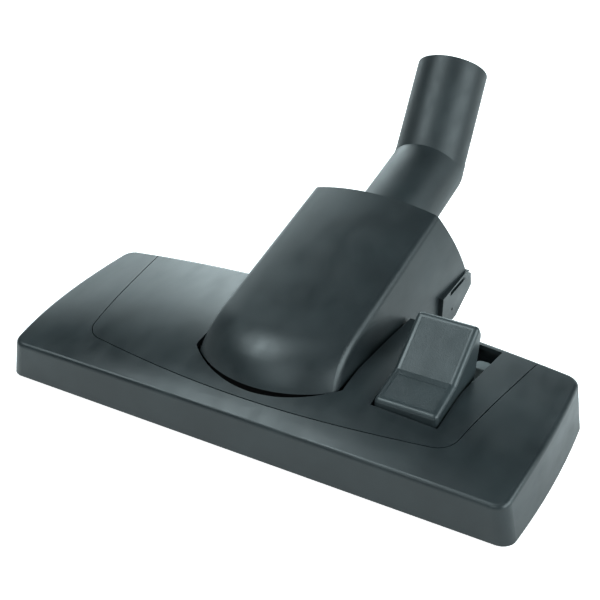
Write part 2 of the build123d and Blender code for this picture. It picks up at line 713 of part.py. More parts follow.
# Screws that hold the sole to the shell and the cover
with BuildPart() as sole_screws:
    for x, y in SHELL_BOSSES + COVER_BOSSES:
        face_z = 0.0 if abs(x) < LAND_HALF_X and abs(y) < LAND_HALF_Y else SHELL_LIFT
        with Locations((x, y, face_z)):
            Cone(SCREW_HEAD_R, SCREW_R, SCREW_HEAD, align=(Align.CENTER, Align.CENTER, Align.MIN))
            Cylinder(SCREW_R, SCREW_LENGTH, align=(Align.CENTER, Align.CENTER, Align.MIN))
finish(sole_screws.part, "sole_screws")

# Brush carrier with two strips, two bridges over the suction channel and the pedal's push post
with BuildPart() as brush_carrier:
    with BuildSketch(Plane.XY.offset(STRIP_LOW_Z)):
        with Locations((0, -BRUSH_Y), (0, BRUSH_Y)):
            RectangleRounded(2 * BRUSH_HALF, STRIP_WIDTH, STRIP_WIDTH / 4)
    extrude(amount=STRIP_HEIGHT)
    with BuildSketch(Plane.XY.offset(STRIP_TOP_Z)):
        with GridLocations(2 * BRIDGE_X, 2 * BRUSH_Y, 2, 2):
            Rectangle(BRIDGE_WIDTH, STRIP_WIDTH)
    extrude(amount=BRIDGE_TOP_Z - STRIP_TOP_Z)
    with BuildSketch(Plane.XY.offset(BRIDGE_LOW_Z)):
        with Locations((-BRIDGE_X, 0), (BRIDGE_X, 0)):
            Rectangle(BRIDGE_WIDTH, 2 * BRUSH_Y)
    extrude(amount=BRIDGE_HEIGHT)
    with Locations((BRIDGE_X, PEDAL_AXLE_Y + PUSH_ARM, BRIDGE_LOW_Z)):
        Box(
            2 * PUSH_HALF,
            2 * PUSH_HALF,
            PUSH_TOP_Z - BRIDGE_LOW_Z,
            align=(Align.CENTER, Align.CENTER, Align.MIN),
        )
    tuft_pitch = 2 * BRUSH_HALF / TUFT_COUNT
    with Locations((0, -BRUSH_Y, STRIP_LOW_Z), (0, BRUSH_Y, STRIP_LOW_Z)):
        with GridLocations(tuft_pitch, 1, TUFT_COUNT, 1):
            Cylinder(
                TUFT_R + FIXED_GAP,
                TUFT_ROOT,
                align=(Align.CENTER, Align.CENTER, Align.MIN),
                mode=Mode.SUBTRACT,
            )
finish(brush_carrier.part, "brush_carrier")

# Latch lug, standing on the carrier's rear strip inside the pedal well
with BuildPart() as latch_lug:
    with BuildSketch(Plane.YZ.offset(LUG_X - LUG_WIDTH / 2)):
        with BuildLine():
            Polyline(
                (BRUSH_Y - STRIP_WIDTH / 3, STRIP_TOP_Z),
                (LUG_Y, STRIP_TOP_Z),
                (LUG_Y, LUG_TOP_Z),
                (LUG_Y - LUG_DEPTH, LUG_TOP_Z),
                (LUG_Y - LUG_DEPTH, STRIP_TOP_Z + STRIP_HEIGHT),
                (BRUSH_Y - STRIP_WIDTH / 3, STRIP_TOP_Z + STRIP_HEIGHT),
                close=True,
            )
        make_face()
    extrude(amount=LUG_WIDTH)
    fillet(latch_lug.edges().filter_by(Axis.Z).filter_by(lambda edge: edge.center().Y > BRUSH_Y), LUG_CORNER_R)
    fillet(latch_lug.faces().sort_by(Axis.Z)[-1].edges(), LUG_EDGE_R)
finish(latch_lug.part, "latch_lug")

# Bristle tufts, each a bundle that spreads towards its tip
for end, name in ((-1, "front_bristles"), (1, "rear_bristles")):
    with BuildPart() as bristles:
        with Locations((0, end * BRUSH_Y, STRIP_LOW_Z)):
            with GridLocations(tuft_pitch, 1, TUFT_COUNT, 1):
                Cylinder(TUFT_R, TUFT_ROOT, align=(Align.CENTER, Align.CENTER, Align.MIN))
                Cone(
                    TUFT_R + SLOT_GAP / 2,
                    TUFT_R,
                    TUFT_LENGTH,
                    align=(Align.CENTER, Align.CENTER, Align.MAX),
                )
    finish(bristles.part, name)

# Lift springs
for side, name in ((-1, "left_lift_spring"), (1, "right_lift_spring")):
    coil_rise = BRIDGE_LOW_Z - SOLE_TOP - 2 * SPRING_WIRE_R
    with BuildPart() as lift_spring:
        coil_start = (side * BRIDGE_X, SPRING_Y, SOLE_TOP + SPRING_WIRE_R)
        with BuildLine():
            coil = Helix(coil_rise / SPRING_TURNS, coil_rise, SPRING_R, center=coil_start)
        with BuildSketch(Plane(origin=coil @ 0, z_dir=coil % 0)):
            RegularPolygon(SPRING_WIRE_R, 8)
        sweep()
    finish(lift_spring.part, name)

# Pedal
fold_run = Vector(PEDAL_REAR_Y - PEDAL_FOLD_Y, PEDAL_REAR_Z - PEDAL_FOLD_Z).normalized()
front_run = Vector(PEDAL_FOLD_Y - PEDAL_FRONT_Y, PEDAL_FOLD_Z - PEDAL_FRONT_Z).normalized()
pedal_panels = (
    (PEDAL_FRONT_Y, PEDAL_FRONT_Z, PEDAL_FOLD_Y, PEDAL_FOLD_Z, front_run),
    (PEDAL_FOLD_Y, PEDAL_FOLD_Z, PEDAL_REAR_Y, PEDAL_REAR_Z, fold_run),
)
pedal_rear_low = (PEDAL_REAR_Y + PEDAL_PLATE * fold_run.Y, PEDAL_REAR_Z - PEDAL_PLATE * fold_run.X)
pedal_width = PEDAL_RIGHT_X - PEDAL_LEFT_X
with BuildPart() as pedal:
    with BuildSketch(Plane.YZ.offset(PEDAL_LEFT_X)):
        with BuildLine():
            Polyline(
                (PEDAL_FRONT_Y, PEDAL_FRONT_Z),
                (PEDAL_FOLD_Y, PEDAL_FOLD_Z),
                (PEDAL_REAR_Y, PEDAL_REAR_Z),
                pedal_rear_low,
                (PEDAL_SKIRT_REAR_Y, PEDAL_SKIRT_Z),
                (PEDAL_FRONT_Y, PEDAL_SKIRT_Z),
                close=True,
            )
        make_face()
    extrude(amount=pedal_width)
    crossing = pedal.edges().filter_by(Axis.X)
    front_lip = crossing.filter_by(lambda edge: edge.center().Z > PEDAL_SKIRT_Z).sort_by(Axis.Y)[0]
    lips = [crossing.sort_by(Axis.Y)[-2], front_lip]
    fillet(lips, PEDAL_EDGE_R)
    rims = pedal.edges().filter_by(
        lambda edge: abs(edge.center().X - PEDAL_MIDDLE_X) > 0.49 * pedal_width
        and edge.center().Z > PEDAL_SKIRT_Z + FUSE
        and (edge.center().Z > pedal_rear_low[1] or edge.center().Y < PEDAL_SKIRT_REAR_Y)
    )
    fillet(rims, PEDAL_EDGE_R)
    with BuildSketch(Plane.YZ.offset(PEDAL_LEFT_X + PEDAL_WALL)):
        with BuildLine():
            Polyline(
                (PEDAL_FRONT_Y + PEDAL_WALL, PEDAL_SKIRT_Z),
                (PEDAL_FRONT_Y + PEDAL_WALL, PEDAL_FRONT_Z - PEDAL_PLATE),
                (PEDAL_FOLD_Y + PEDAL_PLATE * fold_run.Y / 2, PEDAL_FOLD_Z - PEDAL_PLATE),
                pedal_rear_low,
                (pedal_rear_low[0], PEDAL_SKIRT_Z),
                close=True,
            )
        make_face()
    extrude(amount=pedal_width - 2 * PEDAL_WALL, mode=Mode.SUBTRACT)
    for y_low, z_low, y_high, z_high, run in pedal_panels:
        panel = Plane(
            origin=(PEDAL_MIDDLE_X, (y_low + y_high) / 2, (z_low + z_high) / 2),
            x_dir=(1, 0, 0),
            z_dir=(0, -run.Y, run.X),
        )
        length = sqrt((y_high - y_low) ** 2 + (z_high - z_low) ** 2)
        with BuildSketch(panel):
            RectangleRounded(pedal_width - 2 * PEDAL_RIM, length - 2 * PEDAL_RIM, PEDAL_RIM / 3)
        extrude(amount=-PEDAL_INLAY, mode=Mode.SUBTRACT)
    with BuildSketch(Plane.YZ.offset(PEDAL_LEFT_X)):
        with Locations((PEDAL_AXLE_Y, PEDAL_AXLE_Z)):
            Circle(PEDAL_HUB_R)
            Rectangle(
                2 * PEDAL_HUB_R,
                PEDAL_FOLD_Z - PEDAL_AXLE_Z - PEDAL_PLATE / 2,
                align=(Align.CENTER, Align.MIN),
            )
    extrude(amount=pedal_width)
    with BuildSketch(Plane.YZ.offset(PEDAL_MIDDLE_X - PUSH_HALF)):
        push_y = PEDAL_AXLE_Y + PUSH_ARM
        push_z = PUSH_TOP_Z + PUSH_GAP + PUSH_NOSE_R
        push_top_z = PEDAL_FOLD_Z + (push_y - PEDAL_FOLD_Y) * fold_run.Y / fold_run.X - PEDAL_PLATE / 2
        with BuildLine():
            Polyline(
                (push_y, push_z),
                (push_y + PUSH_NOSE_R, push_z),
                (push_y + PUSH_NOSE_R, push_top_z),
                (PEDAL_AXLE_Y, PEDAL_FOLD_Z - PEDAL_PLATE / 2),
                (PEDAL_AXLE_Y, PEDAL_AXLE_Z),
                close=True,
            )
        make_face()
        with Locations((push_y, push_z)):
            Circle(PUSH_NOSE_R)
    extrude(amount=2 * PUSH_HALF)
    with Locations((PEDAL_MIDDLE_X, PEDAL_AXLE_Y, PEDAL_AXLE_Z)):
        Cylinder(PEDAL_AXLE_R + RUNNING_GAP, 2 * pedal_width, rotation=(0, 90, 0), mode=Mode.SUBTRACT)
finish(pedal.part, "pedal")

with BuildPart() as pedal_axle:
    with BuildSketch(Plane.YZ.offset(left_ear_x)):
        with Locations((PEDAL_AXLE_Y, PEDAL_AXLE_Z)):
            Circle(PEDAL_AXLE_R)
    extrude(amount=right_ear_x - left_ear_x)
    chamfer(pedal_axle.edges(), PEDAL_AXLE_R / 5)
finish(pedal_axle.part, "pedal_axle")

# Neck hood, with two screw bosses inside
with BuildPart() as hood_bosses:
    with Locations(*[(side * NECK_BOSS_X, NECK_BOSS_Y, HOOD_BASE_Z) for side in (-1, 1)]):
        Cylinder(BOSS_R, HOOD_SKIRT_DEPTH, align=(Align.CENTER, Align.CENTER, Align.MIN))
    add(hood_limit, mode=Mode.INTERSECT)

with BuildPart() as neck_hood:
    add(hood_skin)
    add(hood_cavity, mode=Mode.SUBTRACT)
    add(hood_bosses.part)
    with BuildSketch(Plane.YZ):
        with BuildLine():
            Polyline(
                (FRONT_Y, HOOD_BASE_Z),
                (HOOD_REAR_BASE_Y, HOOD_BASE_Z),
                (HOOD_RIM_Y - HOOD_BASE_Z * RIM_TAN, HOOD_RIM_Z + HOOD_BASE_Z),
                (FRONT_Y, HOOD_RIM_Z + HOOD_BASE_Z),
                close=True,
            )
        make_face()
    extrude(amount=HEAD_WIDTH, both=True, mode=Mode.INTERSECT)
    with Locations(*[(side * NECK_BOSS_X, NECK_BOSS_Y, HOOD_BASE_Z) for side in (-1, 1)]):
        Cylinder(
            SCREW_R + FIXED_GAP,
            NECK_SCREW_BITE + SCREW_R,
            align=(Align.CENTER, Align.CENTER, Align.MIN),
            mode=Mode.SUBTRACT,
        )
finish(neck_hood.part, "neck_hood")

# Knuckle drum: a hollow drum on two trunnions, open below to the mouth and behind to the duct
with BuildPart() as knuckle_drum:
    with Locations((0, PIVOT_Y, PIVOT_Z)):
        Cylinder(DRUM_R, 2 * DRUM_HALF, rotation=(0, 90, 0))
        Cylinder(TRUNNION_R, 2 * TRUNNION_END_X, rotation=(0, 90, 0))
        Cylinder(DRUM_R - DUCT_WALL, 2 * (DRUM_HALF - DUCT_WALL), rotation=(0, 90, 0), mode=Mode.SUBTRACT)
    with BuildSketch(DUCT):
        Circle(DUCT_R - DUCT_WALL)
    extrude(amount=-2 * DRUM_R, mode=Mode.SUBTRACT)
    with Locations((0, PIVOT_Y, 0)):
        Box(
            2 * (MOUTH_HALF_X - DUCT_WALL),
            2 * (DRUM_R - 2 * DUCT_WALL),
            PIVOT_Z,
            align=(Align.CENTER, Align.CENTER, Align.MIN),
            mode=Mode.SUBTRACT,
        )
finish(knuckle_drum.part, "knuckle_drum")

# Neck duct: a sloping tube saddled on the drum, with a flange and a spigot for the swivel
with BuildPart() as neck_duct:
    with BuildSketch(DUCT):
        Circle(DUCT_R)
    extrude(amount=-DUCT_LENGTH)
    with Locations((0, PIVOT_Y, PIVOT_Z)):
        Cylinder(DRUM_R, 2 * DRUM_HALF, rotation=(0, 90, 0), mode=Mode.SUBTRACT)
    with BuildSketch(NECK.offset(-SWIVEL_SEAT)):
        Circle(RING_R)
    extrude(amount=-DUCT_FLANGE)
    with BuildSketch(NECK.offset(-SWIVEL_SEAT)):
        Circle(SPIGOT_R)
    extrude(amount=-(DUCT_FLANGE + SPIGOT_LENGTH))
    with BuildSketch(DUCT):
        Circle(DUCT_R - DUCT_WALL)
    extrude(amount=-(DUCT_LENGTH + DUCT_FLANGE), mode=Mode.SUBTRACT)
    with BuildSketch(NECK.offset(-SWIVEL_SEAT)):
        Circle(SPIGOT_R - DUCT_WALL)
    extrude(amount=-(DUCT_FLANGE + SPIGOT_LENGTH), mode=Mode.SUBTRACT)
    with Locations((0, PIVOT_Y, 0)):
        Box(
            2 * (MOUTH_HALF_X - DUCT_WALL),
            2 * (DRUM_R - 2 * DUCT_WALL),
            PIVOT_Z,
            align=(Align.CENTER, Align.CENTER, Align.MIN),
            mode=Mode.SUBTRACT,
        )
finish(neck_duct.part, "neck_duct")

# Swivel ring, with a groove for the elbow's bead
with BuildPart() as swivel_ring:
    with BuildSketch(NECK.offset(-(SWIVEL_SEAT + DUCT_FLANGE))):
        Circle(RING_R)
        Circle(ELBOW_R + RING_GAP, mode=Mode.SUBTRACT)
    extrude(amount=-(RING_END - SWIVEL_SEAT - DUCT_FLANGE))
    with BuildSketch(NECK.offset(-(BEAD_START - RING_GAP))):
        Circle(ELBOW_R + BEAD_HEIGHT + RING_GAP)
    extrude(amount=-(BEAD_WIDTH + 2 * RING_GAP), mode=Mode.SUBTRACT)
finish(swivel_ring.part, "swivel_ring")

# Lip seal between the spigot and the elbow
with BuildPart() as swivel_seal:
    with BuildSketch(NECK.offset(-(SWIVEL_SEAT + DUCT_FLANGE + SPIGOT_LENGTH - SEAL_WIDTH))):
        Circle(ELBOW_BORE_R - RUNNING_GAP)
        Circle(SPIGOT_R + FIXED_GAP, mode=Mode.SUBTRACT)
    extrude(amount=-SEAL_WIDTH)
finish(swivel_seal.part, "swivel_seal")

# Elbow bend: a lower run in the neck's line, a ball and a short collar that carries the tube
elbow_start = SWIVEL_SEAT + DUCT_FLANGE + ELBOW_END_GAP
with BuildPart() as elbow_bend:
    with BuildSketch(NECK.offset(-elbow_start)):
        Circle(ELBOW_R)
    extrude(amount=-(BEND_REACH - elbow_start))
    with BuildSketch(NECK.offset(-BEAD_START)):
        Circle(ELBOW_R + BEAD_HEIGHT)
    extrude(amount=-BEAD_WIDTH)
    with Locations((0, BEND_Y, BEND_Z)):
        Sphere(ELBOW_R)
    with BuildSketch(TUBE):
        Circle(ELBOW_R - COLLAR_STEP)
    extrude(amount=COLLAR_LENGTH)
    with BuildSketch(TUBE.offset(COLLAR_LENGTH)):
        Circle(2 * ELBOW_R)
    extrude(amount=ELBOW_R, mode=Mode.SUBTRACT)
    with BuildSketch(NECK.offset(-elbow_start)):
        Circle(ELBOW_BORE_R)
    extrude(amount=-(BEND_REACH - elbow_start), mode=Mode.SUBTRACT)
    with Locations((0, BEND_Y, BEND_Z)):
        Sphere(ELBOW_BORE_R, mode=Mode.SUBTRACT)
    with BuildSketch(TUBE):
        Circle(TUBE_BORE_R - DUCT_WALL / 2)
    extrude(amount=COLLAR_LENGTH, mode=Mode.SUBTRACT)
finish(elbow_bend.part, "elbow_bend")

# Elbow tube, with the socket for the wand
with BuildPart() as elbow_tube:
    with BuildSketch(TUBE.offset(COLLAR_LENGTH)):
        Circle(TUBE_R)
    extrude(amount=TUBE_LENGTH - COLLAR_LENGTH)
    fillet(elbow_tube.edges().sort_by(Axis.Z)[-1], TUBE_LIP_R)
    with BuildSketch(TUBE.offset(COLLAR_LENGTH)):
        Circle(TUBE_BORE_R - DUCT_WALL / 2)
    extrude(amount=TUBE_LENGTH - COLLAR_LENGTH, mode=Mode.SUBTRACT)
    with BuildSketch(TUBE.offset(TUBE_LENGTH - SOCKET_DEPTH)):
        Circle(TUBE_BORE_R)
    extrude(amount=SOCKET_DEPTH, mode=Mode.SUBTRACT)
finish(elbow_tube.part, "elbow_tube")

# Neck lower shell: a tub closing the hood from below, with wheel cut-outs, parking plates and screw bosses
tub_skin = tub_form(hood_skin, 0.0, HOOD_BASE_Z)
tub_cavity = tub_form(hood_cavity, TUB_WALL, HOOD_BASE_Z + 2 * TUB_WALL)
tub_limit = tub_form(hood_limit, TUB_WALL - FUSE, HOOD_BASE_Z + TUB_WALL - FUSE)
bracket_x = WHEEL_WIDTH / 2 + WHEEL_GAP

with BuildPart() as tub_fittings:
    with BuildSketch(NECK.offset(-(SWIVEL_SEAT - TUB_WALL))):
        Rectangle(HEAD_WIDTH, 4 * RING_R)
    extrude(amount=-TUB_WALL)
    with Locations(*[(side * NECK_BOSS_X, NECK_BOSS_Y, 0) for side in (-1, 1)]):
        Cylinder(TUB_BOSS_R, HOOD_BASE_Z, align=(Align.CENTER, Align.CENTER, Align.MIN))
    for side in (-1, 1):
        for start in (-bracket_x - TUB_WALL, bracket_x):
            with BuildSketch(Plane.YZ.offset(side * WHEEL_X + start)):
                with Locations((WHEEL_Y, WHEEL_R)):
                    Circle(2 * AXLE_R)
                    Rectangle(4 * AXLE_R, WHEEL_R, align=(Align.CENTER, Align.MAX))
            extrude(amount=TUB_WALL)
    add(tub_limit, mode=Mode.INTERSECT)

with BuildPart() as neck_lower_shell:
    add(tub_skin)
    add(tub_cavity, mode=Mode.SUBTRACT)
    add(tub_fittings.part)
    for side in (-1, 1):
        with BuildSketch(Plane.YZ.offset(side * (CHEEK_X - CHEEK_WALL / 2) - CHEEK_WALL / 2)):
            with BuildLine():
                Polyline(*CHEEK_OUTLINE, close=True)
            make_face()
        extrude(amount=CHEEK_WALL)
    with BuildSketch(DUCT):
        Circle(DUCT_R + SEAT_GAP)
    extrude(amount=-DUCT_LENGTH, mode=Mode.SUBTRACT)
    with BuildSketch(NECK.offset(-(SWIVEL_SEAT + DUCT_FLANGE))):
        Circle(ELBOW_R + ELBOW_END_GAP)
    extrude(amount=-BEND_REACH, mode=Mode.SUBTRACT)
    with Locations(*[(side * WHEEL_X, WHEEL_Y, 0) for side in (-1, 1)]):
        Box(
            2 * bracket_x,
            2 * (WHEEL_R + WHEEL_GAP),
            2 * WHEEL_R + WHEEL_GAP,
            align=(Align.CENTER, Align.CENTER, Align.MIN),
            mode=Mode.SUBTRACT,
        )
    with Locations((0, WHEEL_Y, WHEEL_R)):
        Cylinder(AXLE_R + FIXED_GAP, 2 * AXLE_HALF, rotation=(0, 90, 0), mode=Mode.SUBTRACT)
    with Locations(*[(side * NECK_BOSS_X, NECK_BOSS_Y, 0) for side in (-1, 1)]):
        Cylinder(
            SCREW_R + FIXED_GAP,
            HOOD_BASE_Z,
            align=(Align.CENTER, Align.CENTER, Align.MIN),
            mode=Mode.SUBTRACT,
        )
        Cylinder(
            SCREW_HEAD_R + SEAT_GAP,
            NECK_SCREW_SEAT_Z,
            align=(Align.CENTER, Align.CENTER, Align.MIN),
            mode=Mode.SUBTRACT,
        )
    for side in (-1, 1):
        groove_x = CHEEK_X - PARK_SLOT_DEPTH / 2
        with Locations((side * groove_x, PARK_SLOT_END_Y, PARK_SLOT_Z)):
            Box(
                PARK_SLOT_DEPTH,
                HEAD_DEPTH,
                PARK_SLOT_WIDTH,
                align=(Align.CENTER, Align.MIN, Align.CENTER),
                mode=Mode.SUBTRACT,
            )
        with Locations((side * CHEEK_X, HOOD_REAR_BASE_Y + TUB_WALL, PARK_SLOT_Z)):
            Box(
                3 * CHEEK_WALL,
                HEAD_DEPTH,
                PARK_SLOT_WIDTH,
                align=(Align.CENTER, Align.MIN, Align.CENTER),
                mode=Mode.SUBTRACT,
            )
        with Locations((side * groove_x, CHEEK_HOLE_Y, CHEEK_HOLE_Z)):
            Cylinder(CHEEK_HOLE_R, PARK_SLOT_DEPTH, rotation=(0, 90, 0), mode=Mode.SUBTRACT)
finish(neck_lower_shell.part, "neck_lower_shell")

with BuildPart() as neck_screws:
    with Locations(*[(side * NECK_BOSS_X, NECK_BOSS_Y, NECK_SCREW_SEAT_Z) for side in (-1, 1)]):
        Cylinder(SCREW_HEAD_R, SCREW_HEAD, align=(Align.CENTER, Align.CENTER, Align.MAX))
        Cylinder(
            SCREW_R,
            HOOD_BASE_Z + NECK_SCREW_BITE - NECK_SCREW_SEAT_Z,
            align=(Align.CENTER, Align.CENTER, Align.MIN),
        )
finish(neck_screws.part, "neck_screws")

# Wheels and their axle
with BuildPart() as wheel_axle:
    with Locations((0, WHEEL_Y, WHEEL_R)):
        Cylinder(AXLE_R, 2 * AXLE_HALF, rotation=(0, 90, 0))
    chamfer(wheel_axle.edges().filter_by(GeomType.CIRCLE), AXLE_R / 5)
finish(wheel_axle.part, "wheel_axle")

for side, name in ((-1, "left_wheel"), (1, "right_wheel")):
    with BuildPart() as wheel:
        with Locations((side * WHEEL_X, WHEEL_Y, WHEEL_R)):
            Cylinder(WHEEL_R, WHEEL_WIDTH, rotation=(0, 90, 0))
        fillet(wheel.edges().filter_by(GeomType.CIRCLE), WHEEL_EDGE_R)
        for face_x in (side * WHEEL_X - WHEEL_WIDTH / 2, side * WHEEL_X + WHEEL_WIDTH / 2 - WHEEL_DISH):
            with BuildSketch(Plane.YZ.offset(face_x)):
                with Locations((WHEEL_Y, WHEEL_R)):
                    Circle(WHEEL_R - 2 * WHEEL_EDGE_R)
                    Circle(2 * AXLE_R, mode=Mode.SUBTRACT)
            extrude(amount=WHEEL_DISH, mode=Mode.SUBTRACT)
        with Locations((side * WHEEL_X, WHEEL_Y, WHEEL_R)):
            Cylinder(AXLE_R + RUNNING_GAP, 2 * WHEEL_WIDTH, rotation=(0, 90, 0), mode=Mode.SUBTRACT)
    finish(wheel.part, name)
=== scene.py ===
"""Looks of a vacuum floor brush head: moulded plastics, bristles, velour, light and camera.

Lengths are written in millimetres and turned into Blender's metres by mm(). The frame is the CAD part's own: the floor
is z = 0, the head's front edge faces -Y and the tube leaves to +Y.
"""

import logging
import math
import random
from dataclasses import dataclass, field
from enum import Enum

import bpy
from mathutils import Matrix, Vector

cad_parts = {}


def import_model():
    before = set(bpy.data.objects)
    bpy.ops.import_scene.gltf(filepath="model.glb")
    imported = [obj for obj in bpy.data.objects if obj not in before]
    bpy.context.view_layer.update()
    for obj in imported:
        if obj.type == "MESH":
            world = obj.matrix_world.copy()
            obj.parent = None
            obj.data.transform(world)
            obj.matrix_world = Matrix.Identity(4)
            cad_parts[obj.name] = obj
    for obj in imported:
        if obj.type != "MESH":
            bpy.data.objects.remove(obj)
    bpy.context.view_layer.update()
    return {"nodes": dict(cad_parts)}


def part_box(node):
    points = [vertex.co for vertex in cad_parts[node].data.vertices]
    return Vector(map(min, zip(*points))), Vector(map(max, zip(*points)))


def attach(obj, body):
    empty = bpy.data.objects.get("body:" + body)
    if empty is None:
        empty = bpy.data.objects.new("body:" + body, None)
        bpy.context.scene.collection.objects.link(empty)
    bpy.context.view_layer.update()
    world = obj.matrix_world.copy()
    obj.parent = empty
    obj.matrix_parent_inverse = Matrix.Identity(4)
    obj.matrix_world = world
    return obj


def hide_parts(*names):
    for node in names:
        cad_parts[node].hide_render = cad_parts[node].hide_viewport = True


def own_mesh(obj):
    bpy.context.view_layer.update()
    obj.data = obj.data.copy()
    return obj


LOG = logging.getLogger("floor_head")
MM = 0.001
SEED = 41
WHITE = "#ffffff"
STUDIO_TINT = "#e8fbff"
PLASTIC_IOR = 1.5


def mm(value: float) -> float:
    """Turn millimetres into metres.

    Args:
        value: A length in millimetres.

    Returns:
        The same length in metres.
    """
    return value * MM


def srgb(code: str) -> tuple[float, float, float, float]:
    """Turn an sRGB hex colour into the linear colour that shaders use.

    Args:
        code: A colour such as "#3c4547".

    Returns:
        Linear red, green, blue and an alpha of 1.
    """
    parts = [int(code[i : i + 2], 16) / 255 for i in (1, 3, 5)]
    linear = [c / 12.92 if c <= 0.04045 else ((c + 0.055) / 1.055) ** 2.4 for c in parts]
    return (linear[0], linear[1], linear[2], 1.0)


class Body(Enum):
    """The rigid bodies of the part that added pieces ride on."""

    HEAD = "head"
    BRUSH = "brush"


class Graph:
    """The node tree of a material or of the world, built one node at a time."""

    def __init__(self, owner: bpy.types.Material | bpy.types.World) -> None:
        """Start an empty tree.

        Args:
            owner: The material or world that the tree belongs to.
        """
        self.owner = owner
        owner.use_nodes = True
        self.tree = owner.node_tree
        self.tree.nodes.clear()

    def add(self, kind: str, settings: dict | None = None, links: dict | None = None) -> bpy.types.Node:
        """Add a node with its settings, socket values and incoming links.

        Args:
            kind: Blender's name for the node type, without the "ShaderNode" in front.
            settings: Attributes of the node.
            links: For each input, by name or index, a value or the output socket that feeds it.

        Returns:
            The new node.
        """
        node = self.tree.nodes.new("ShaderNode" + kind)
        for key, value in (settings or {}).items():
            setattr(node, key, value)
        for key, value in (links or {}).items():
            if isinstance(value, bpy.types.NodeSocket):
                self.tree.links.new(value, node.inputs[key])
            else:
                node.inputs[key].default_value = value
        return node

    def noise(self, size_mm: float, detail: float = 2.0, stretch: tuple = (1.0, 1.0, 1.0)) -> bpy.types.NodeSocket:
        """Add a noise pattern of a real size, in the part's own coordinates.

        Args:
            size_mm: The pattern's typical size in millimetres.
            detail: How many finer octaves it has.
            stretch: How much the pattern is packed along each axis.

        Returns:
            The pattern's value, from 0 to 1.
        """
        place = self.add("TexCoord").outputs["Object"]
        if stretch != (1.0, 1.0, 1.0):
            place = self.add("Mapping", links={"Vector": place, "Scale": stretch}).outputs["Vector"]
        links = {"Vector": place, "Scale": 1 / mm(size_mm), "Detail": detail}
        return self.add("TexNoise", links=links).outputs["Fac"]

    def span(self, value: bpy.types.NodeSocket, source: tuple, target: tuple) -> bpy.types.NodeSocket:
        """Carry a value from one range to another, held at its ends.

        Args:
            value: The value to carry over.
            source: Its lowest and highest value of interest.
            target: What those two become.

        Returns:
            The new value.
        """
        names = ("From Min", "From Max", "To Min", "To Max")
        links = dict(zip(names, (*source, *target)))
        return self.add("MapRange", {"clamp": True}, {"Value": value, **links}).outputs["Result"]

    def calc(self, operation: str, first: object, second: object = 0.0) -> bpy.types.NodeSocket:
        """Work out one number from two.

        Args:
            operation: Blender's name for the sum.
            first: A number, or a socket that gives one.
            second: The other number.

        Returns:
            The result.
        """
        return self.add("Math", {"operation": operation}, {0: first, 1: second}).outputs[0]

    def mix(self, share: object, first: object, second: object) -> bpy.types.NodeSocket:
        """Mix two colours.

        Args:
            share: How much of the second colour is in the mix.
            first: A colour, or a socket that gives one.
            second: The other colour.

        Returns:
            The mixed colour.
        """
        links = {"Factor": share, 6: first, 7: second}
        return self.add("Mix", {"data_type": "RGBA"}, links).outputs[2]

    def bump(self, height: object, depth_mm: float, strength: float, normal: object = None) -> bpy.types.NodeSocket:
        """Add a relief of a real depth.

        Args:
            height: The relief's height, from 0 to 1.
            depth_mm: Its depth in millimetres.
            strength: How far the relief turns the surface.
            normal: A relief that this one lies on.

        Returns:
            The surface's new normal.
        """
        links = {"Height": height, "Distance": mm(depth_mm), "Strength": strength}
        if normal is not None:
            links["Normal"] = normal
        return self.add("Bump", links=links).outputs["Normal"]

    def edge(self, radius_mm: float, turn: tuple = (0.995, 0.82)) -> bpy.types.NodeSocket:
        """Measure how near a point is to an outer edge.

        Args:
            radius_mm: How far from an edge still counts.
            turn: Cosines of how far the rounded normal turns on a flat face and on a sharp edge.

        Returns:
            0 on flat faces, rising to 1 on an edge.
        """
        rounded = self.add("Bevel", {"samples": 4}, {"Radius": mm(radius_mm)}).outputs["Normal"]
        plain = self.add("NewGeometry").outputs["Normal"]
        dot = self.add("VectorMath", {"operation": "DOT_PRODUCT"}, {0: rounded, 1: plain}).outputs["Value"]
        return self.span(dot, turn, (0.0, 1.0))

    def surface(self, links: dict) -> bpy.types.Material:
        """Close the tree with a principled surface.

        Args:
            links: The surface's inputs.

        Returns:
            The finished material.
        """
        shader = self.add("BsdfPrincipled", links=links)
        self.add("OutputMaterial", links={"Surface": shader.outputs["BSDF"]})
        return self.owner


@dataclass(frozen=True)
class MouldedPlastic:
    """Injection-moulded plastic: a body colour under a fine spark-eroded grain, with soft sheen; its edges are painted
    paler, part wear and part painted highlight.
    """

    name: str
    colour: str
    light: str
    roughness: float
    grain_mm: float
    grain_depth_mm: float
    grain: float
    spread: float = 0.05
    wave_mm: float = 26.0
    cloud_share: float = 0.35
    edge_wear_and_highlight_share: float = 0.35
    edge_wear_and_highlight_mm: float = 0.7
    swell: float = 9.0

    def make(self) -> bpy.types.Material:
        """Build the material.

        Returns:
            The finished material.
        """
        graph = Graph(bpy.data.materials.new(self.name))
        return graph.surface(self.layers(graph))

    def layers(self, graph: Graph) -> dict:
        """Work out the surface's inputs.

        Args:
            graph: The material's node tree.

        Returns:
            The principled surface's inputs by name.
        """
        cloud = graph.noise(self.wave_mm, 3.0)
        # Uneven cooling leaves the colour faintly cloudy; edges are painted a touch paler, partly as handling wear and
        # partly as a painted highlight.
        pale = srgb(self.light)
        tone = graph.mix(graph.span(cloud, (0.35, 0.7), (0.0, self.cloud_share)), srgb(self.colour), pale)
        tone = graph.mix(graph.calc("MULTIPLY", graph.edge(self.edge_wear_and_highlight_mm), self.edge_wear_and_highlight_share), tone, pale)
        # The grain scatters light, and its density varies a little over the mould.
        smear = graph.noise(self.wave_mm / 3, 4.0, (1.0, 0.4, 1.0))
        rough = graph.span(smear, (0.3, 0.7), (self.roughness - self.spread, self.roughness + self.spread))
        swell = graph.bump(graph.noise(self.grain_mm * self.swell, 2.0), self.grain_depth_mm * 2, self.grain / 2)
        relief = graph.bump(graph.noise(self.grain_mm, 2.0), self.grain_depth_mm, self.grain, swell)
        return {"Base Color": tone, "Roughness": rough, "Normal": relief, "IOR": PLASTIC_IOR}


